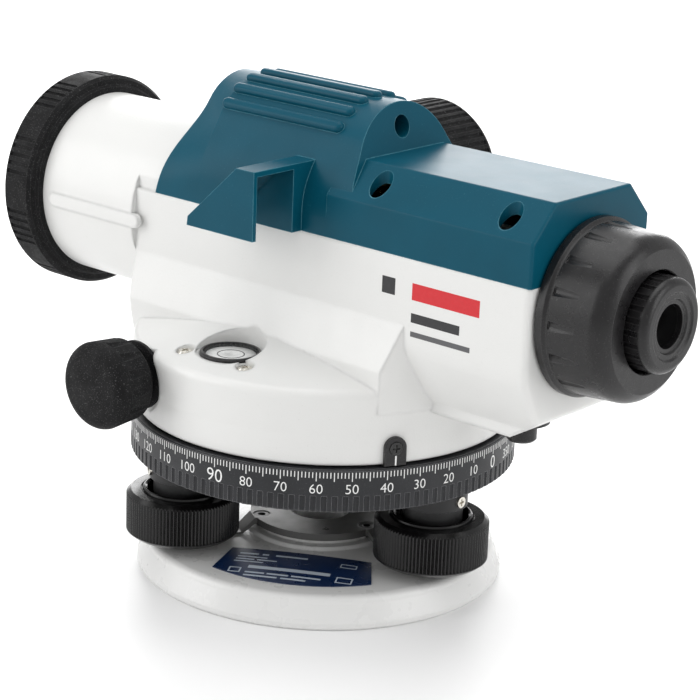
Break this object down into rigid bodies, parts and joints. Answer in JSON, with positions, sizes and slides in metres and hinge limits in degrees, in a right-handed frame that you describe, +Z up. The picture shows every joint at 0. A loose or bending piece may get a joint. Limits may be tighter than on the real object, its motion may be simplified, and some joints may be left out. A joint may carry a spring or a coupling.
{
  "type": "automatic level",
  "caption": "Surveyor's automatic level: telescope with compensator, circular vial and mirror, horizontal circle, endless tangent screw and foot screws on a round base.",
  "frame": {"origin": "centre of the base plate's underside, on the axis of the tripod thread", "axes": "+X towards the eyepiece along the telescope, +Y towards the focusing knob, +Z up"},
  "size_m": [0.215, 0.135, 0.1391],
  "materials": {
    "body_paint": "fine-textured light grey paint on a casting",
    "base_paint": "light grey paint on a casting, slightly glossy",
    "teal_plastic": "satin blue-green plastic",
    "black_rubber": "matt moulded rubber",
    "black_plastic": "fine-textured moulded plastic",
    "knob_plastic": "glossy moulded plastic with fine ribs",
    "black_metal": "black anodised or painted",
    "dial_plastic": "dark grey satin with white graduations",
    "steel": "turned steel",
    "spring_steel": "blackened spring steel",
    "bright_screw": "bright plated screw",
    "black_screw": "black oxide",
    "brass": "turned brass",
    "optical_glass": "polished and coated",
    "vial_glass": "clear",
    "vial_fluid": "pale clear fluid",
    "mirror": "silvered",
    "data_plate": "dark blue printed foil",
    "nylon": "moulded nylon",
    "magnet": "bare"
  },
  "bodies": {
    "base": {"base_plate": "base_paint", "spring_plate": "spring_steel", "spring_plate_screws": "black_screw", "data_plate": "data_plate", "seat_cup_a": "nylon"},
    "foot_screw_a": {"foot_screw_a": "steel", "foot_knob_a": "knob_plastic"},
    "rocker": {"rocking_seat_cups": "nylon"},
    "foot_screw_b": {"foot_screw_b": "steel", "foot_knob_b": "knob_plastic"},
    "foot_screw_c": {"foot_screw_c": "steel", "foot_knob_c": "knob_plastic"},
    "tribrach": {"tribrach": "black_metal", "tension_screws": "bright_screw", "axis_sleeve": "steel", "sleeve_nut": "brass", "circle_spring_ring": "spring_steel"},
    "circle": {"horizontal_circle": "dial_plastic"},
    "clutch": {"worm_wheel": "brass", "friction_washer": "spring_steel"},
    "alidade": {"vertical_spindle": "steel", "main_housing": "body_paint", "top_cover": "teal_plastic", "cover_screws": "black_screw", "bubble_mirror": "mirror", "vial_housing": "black_plastic", "vial_fluid": "vial_fluid", "vial_glass": "vial_glass", "vial_screws": "bright_screw", "pointer": "black_plastic", "pointer_screw": "black_screw", "worm_bushes": "brass", "objective_hood": "black_rubber", "objective_cell": "black_metal", "objective_lens": "optical_glass", "objective_lock_ring": "black_metal", "focus_guide": "black_metal", "focus_bush": "brass", "compensator_frame": "black_metal", "fixed_prisms": "optical_glass", "damping_magnet": "magnet", "reticle_holder": "black_metal", "reticle_glass": "optical_glass", "lock_collar": "black_metal", "lock_spring": "steel", "lock_bridge": "steel"},
    "tangent_screw": {"worm_shaft": "steel", "tangent_knob_left": "black_rubber", "tangent_knob_right": "black_rubber"},
    "focus_drive": {"focus_knob": "black_rubber", "focus_pinion": "steel"},
    "focus_carriage": {"focus_carriage": "brass", "focus_lens": "optical_glass"},
    "pendulum": {"pendulum": "brass", "pendulum_prism": "optical_glass"},
    "reticle_cover": {"reticle_cover": "black_plastic"},
    "eyepiece_slide": {"eyepiece_barrel": "black_metal", "eyepiece_lens": "optical_glass"},
    "eyepiece_ring": {"eyepiece_ring": "black_plastic"},
    "lock_button": {"lock_button": "black_plastic"}
  },
  "joints": [
    {"name": "foot_screw_a_spin", "type": "hinge", "parent": "base", "child": "foot_screw_a", "pos_m": [0.0409, 0, 0.0065], "axis": [0, 0, 1], "range_deg": [-1020, 1020]},
    {"name": "level_pitch", "type": "hinge", "parent": "base", "child": "rocker", "pos_m": [-0.02045, 0, 0.0065], "axis": [0, 1, 0], "range_deg": [-2, 2]},
    {"name": "foot_screw_b_spin", "type": "hinge", "parent": "rocker", "child": "foot_screw_b", "pos_m": [-0.02045, 0.03542, 0.0065], "axis": [0, 0, 1], "range_deg": [-590, 590]},
    {"name": "foot_screw_c_spin", "type": "hinge", "parent": "rocker", "child": "foot_screw_c", "pos_m": [-0.02045, -0.03542, 0.0065], "axis": [0, 0, 1], "range_deg": [-590, 590]},
    {"name": "level_roll", "type": "hinge", "parent": "rocker", "child": "tribrach", "pos_m": [0, 0, 0.031], "axis": [1, 0, 0], "range_deg": [-2, 2]},
    {"name": "circle_turn", "type": "hinge", "parent": "tribrach", "child": "circle", "pos_m": [0, 0, 0.042], "axis": [0, 0, 1], "continuous": true},
    {"name": "coarse_swing", "type": "hinge", "parent": "tribrach", "child": "clutch", "pos_m": [0, 0, 0.06], "axis": [0, 0, 1], "continuous": true},
    {"name": "fine_turn", "type": "hinge", "parent": "clutch", "child": "alidade", "pos_m": [0, 0, 0.06], "axis": [0, 0, 1], "continuous": true},
    {"name": "tangent_screw_spin", "type": "hinge", "parent": "alidade", "child": "tangent_screw", "pos_m": [-0.025, 0, 0.0603], "axis": [0, 1, 0], "continuous": true},
    {"name": "focus_knob_turn", "type": "hinge", "parent": "alidade", "child": "focus_drive", "pos_m": [0.0005, 0.038, 0.1078], "axis": [0, 1, 0], "range_deg": [-185, 185]},
    {"name": "focus_slide", "type": "slide", "parent": "alidade", "child": "focus_carriage", "axis": [1, 0, 0], "range_m": [-0.0078, 0.0078]},
    {"name": "pendulum_swing", "type": "hinge", "parent": "alidade", "child": "pendulum", "pos_m": [0.028, 0, 0.1016], "axis": [0, 1, 0], "range_deg": [-0.4, 0.4]},
    {"name": "reticle_cover_off", "type": "slide", "parent": "alidade", "child": "reticle_cover", "axis": [1, 0, 0], "range_m": [0, 0.02]},
    {"name": "eyepiece_draw", "type": "slide", "parent": "alidade", "child": "eyepiece_slide", "axis": [1, 0, 0], "range_m": [-0.0015, 0.0015]},
    {"name": "eyepiece_ring_turn", "type": "hinge", "parent": "eyepiece_slide", "child": "eyepiece_ring", "pos_m": [0.105, 0, 0.0954], "axis": [1, 0, 0], "range_deg": [-270, 270]},
    {"name": "lock_button_press", "type": "slide", "parent": "alidade", "child": "lock_button", "axis": [0, 0, 1], "range_m": [0, 0.0012], "stiffness_N_per_m": 600, "springref_m": -0.002, "deforming": ["lock_spring"]}
  ],
  "couplings": [
    {"joint": "level_pitch", "follows": "foot_screw_a_spin", "ratio": 0.0019457},
    {"joint": "level_roll", "follows": "foot_screw_b_spin", "ratio": -0.00337},
    {"joint": "foot_screw_c_spin", "follows": "foot_screw_b_spin", "ratio": -1},
    {"joint": "fine_turn", "follows": "tangent_screw_spin", "ratio": -0.011905},
    {"joint": "focus_slide", "follows": "focus_knob_turn", "m_per_rad": -0.0024},
    {"joint": "eyepiece_draw", "follows": "eyepiece_ring_turn", "m_per_rad": 0.00031831}
  ]
}
